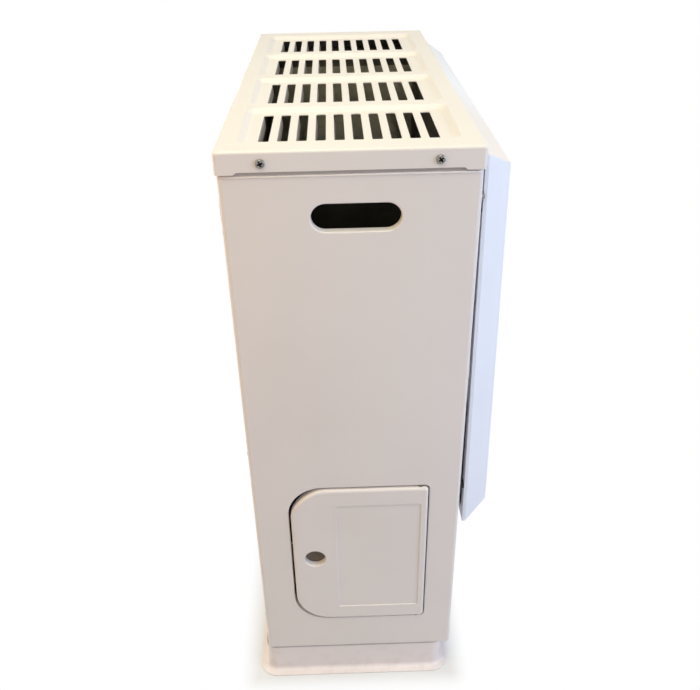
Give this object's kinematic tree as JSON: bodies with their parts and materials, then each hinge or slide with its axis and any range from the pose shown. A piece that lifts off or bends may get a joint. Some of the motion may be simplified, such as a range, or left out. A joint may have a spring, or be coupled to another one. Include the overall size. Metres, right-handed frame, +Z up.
{
  "type": "gas room heater",
  "caption": "Floor-standing flued gas room heater: slim sheet-steel casing on a flared plinth, slotted top grille, raised front panel, side access door over the controls.",
  "frame": {"origin": "on the floor, at the middle of the casing's width and depth", "axes": "+Z up, the front faces -Y, the access door is on the -X side"},
  "size_m": [0.67, 0.359, 0.81],
  "materials": {
    "casing_paint": "ivory powder coat, satin",
    "front_paint": "pale powder coat, satin",
    "plinth_paint": "ivory powder coat, satin",
    "galvanised": "zinc-coated sheet, spangled",
    "screw_steel": "bright zinc plate",
    "bezel_chrome": "bright plate",
    "window_glass": "heat-resisting clear glass",
    "buffer_rubber": "black heat-resisting rubber",
    "magnet": "sintered ferrite",
    "valve_casting": "die-cast, as cast",
    "knob_plastic": "black phenolic",
    "button_plastic": "red moulded",
    "brass": "machined",
    "copper": "drawn copper",
    "pipe_steel": "drawn tube",
    "burner_steel": "heat-tinted stainless",
    "electrode_ceramic": "glazed porcelain",
    "lead_sleeve": "silicone sleeve",
    "firebox_enamel": "matt heat-resisting enamel",
    "flue_steel": "aluminised steel tube",
    "gasket": "pressed mineral fibre"
  },
  "bodies": {
    "casing": {"plinth": "plinth_paint", "base_plate": "galvanised", "left_side_panel": "casing_paint", "right_side_panel": "casing_paint", "casing_front": "casing_paint", "front_grille": "casing_paint", "front_stiles": "casing_paint", "right_heat_shield": "galvanised", "rear_panel": "galvanised", "top_cover": "casing_paint", "left_cover_rail": "casing_paint", "right_cover_rail": "casing_paint", "left_cover_screws": "screw_steel", "right_cover_screws": "screw_steel", "front_return_screws": "screw_steel", "rear_panel_screws": "screw_steel", "front_panel": "front_paint", "front_panel_spacers": "buffer_rubber", "window_bezel": "bezel_chrome", "window_glass": "window_glass", "window_clips": "galvanised", "door_catch": "galvanised", "door_magnet": "magnet", "heat_shield": "galvanised", "control_bracket": "galvanised", "gas_valve": "valve_casting", "igniter_body": "knob_plastic", "gas_inlet_nipple": "brass", "gas_inlet_pipe": "pipe_steel", "burner_supply_pipe": "pipe_steel", "injector": "brass", "burner": "burner_steel", "burner_straps": "burner_steel", "pilot_burner": "burner_steel", "pilot_pipe": "pipe_steel", "thermocouple": "copper", "thermocouple_lead": "copper", "spark_electrode": "electrode_ceramic", "ignition_lead": "lead_sleeve", "firebox": "firebox_enamel", "firebox_legs": "galvanised", "firebox_glass": "window_glass", "firebox_glass_frame": "burner_steel", "flue_baffle": "burner_steel", "flue_spigot": "flue_steel", "flue_gasket": "gasket"},
    "door": {"access_door": "casing_paint", "door_hinge_pins": "screw_steel"},
    "push_pin": {"valve_push_pin": "screw_steel"},
    "knob": {"valve_spindle": "screw_steel", "control_knob": "knob_plastic"},
    "igniter": {"igniter_button": "button_plastic"}
  },
  "joints": [
    {"name": "door_hinge", "type": "hinge", "parent": "casing", "child": "door", "pos_m": [-0.322, -0.0835, 0.2425], "axis": [0, 0, 1], "range_deg": [0, 110]},
    {"name": "valve_push", "type": "slide", "parent": "casing", "child": "push_pin", "axis": [1, 0, 0], "range_m": [0, 0.005], "stiffness_N_per_m": 600, "springref_m": -0.003},
    {"name": "knob_turn", "type": "hinge", "parent": "push_pin", "child": "knob", "pos_m": [-0.2725, -0.01, 0.24], "axis": [1, 0, 0], "range_deg": [0, 180]},
    {"name": "igniter_push", "type": "slide", "parent": "casing", "child": "igniter", "axis": [1, 0, 0], "range_m": [0, 0.006], "stiffness_N_per_m": 800, "springref_m": -0.003}
  ]
}
